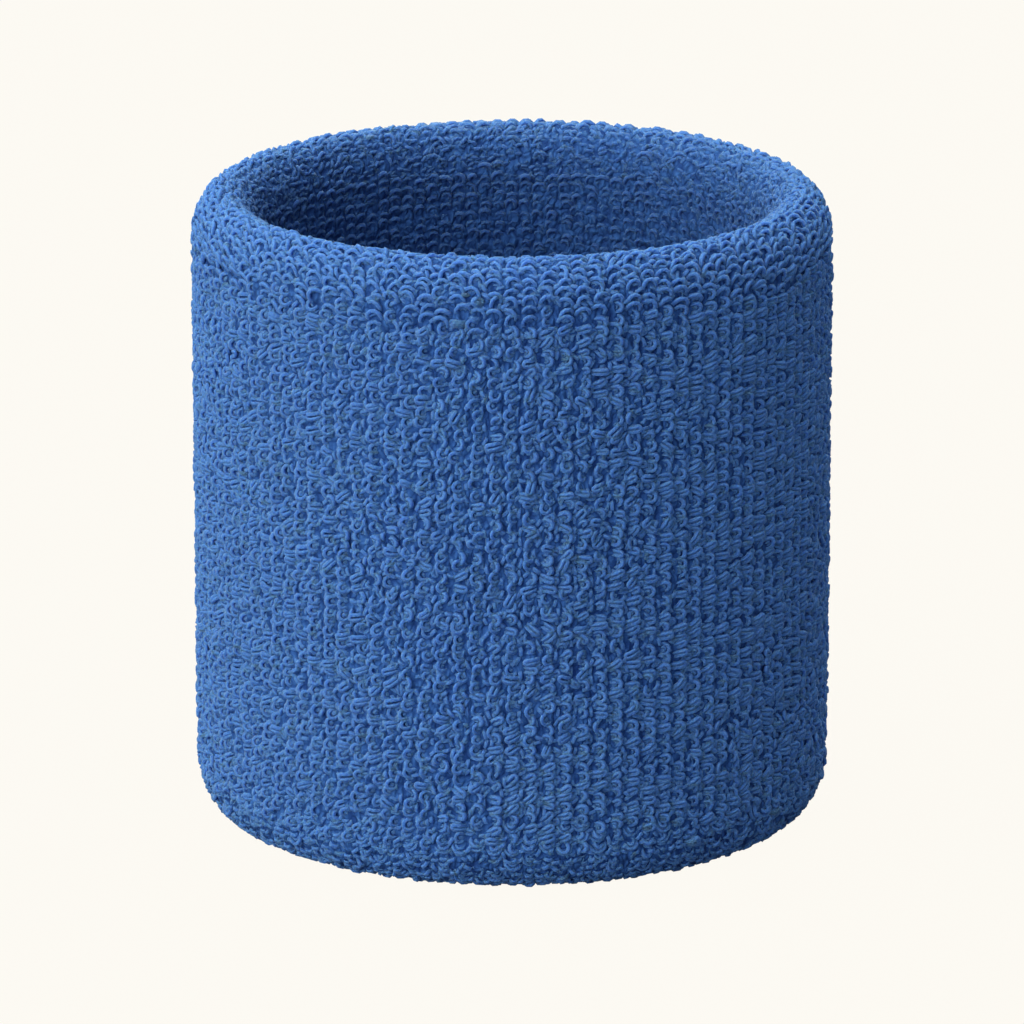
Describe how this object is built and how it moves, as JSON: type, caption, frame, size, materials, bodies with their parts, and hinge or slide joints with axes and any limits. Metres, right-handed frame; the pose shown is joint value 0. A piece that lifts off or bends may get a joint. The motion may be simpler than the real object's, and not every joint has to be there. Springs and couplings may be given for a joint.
{
  "type": "sweat wristband",
  "caption": "Short cylindrical terry sweat wristband with loop pile on both walls, soft rolled rims and an open wrist bore.",
  "frame": {"origin": "centre of the ring on which the lower rim stands, on the axis of the bore", "axes": "+Z along the bore's axis, up through the band; X and Y across the band, which is round"},
  "size_m": [0.064, 0.064, 0.064],
  "materials": {
    "terry_loops": "cotton terry loops, matt, royal blue",
    "ground_knit": "flat knitted ground of nylon and cotton, matt, darker blue",
    "elastic": "rubber yarn covered with pale nylon, slightly glossy",
    "seam_thread": "spun polyester sewing thread, matt, blue"
  },
  "bodies": {
    "root": {"terry_pile_outer_wall": "terry_loops", "terry_pile_upper_rim": "terry_loops", "terry_pile_lower_rim": "terry_loops", "terry_pile_inner_wall_upper": "terry_loops", "terry_pile_inner_wall_lower": "terry_loops", "ground_knit_outer_wall": "ground_knit", "ground_knit_upper_fold": "ground_knit", "ground_knit_lower_fold": "ground_knit", "ground_knit_inner_wall_upper": "ground_knit", "ground_knit_inner_wall_lower": "ground_knit", "seam_allowance_upper": "ground_knit", "seam_allowance_lower": "ground_knit", "linking_seam_thread": "seam_thread", "elastic_yarn_1": "elastic", "elastic_yarn_2": "elastic", "elastic_yarn_3": "elastic", "elastic_yarn_4": "elastic"}
  },
  "joints": []
}
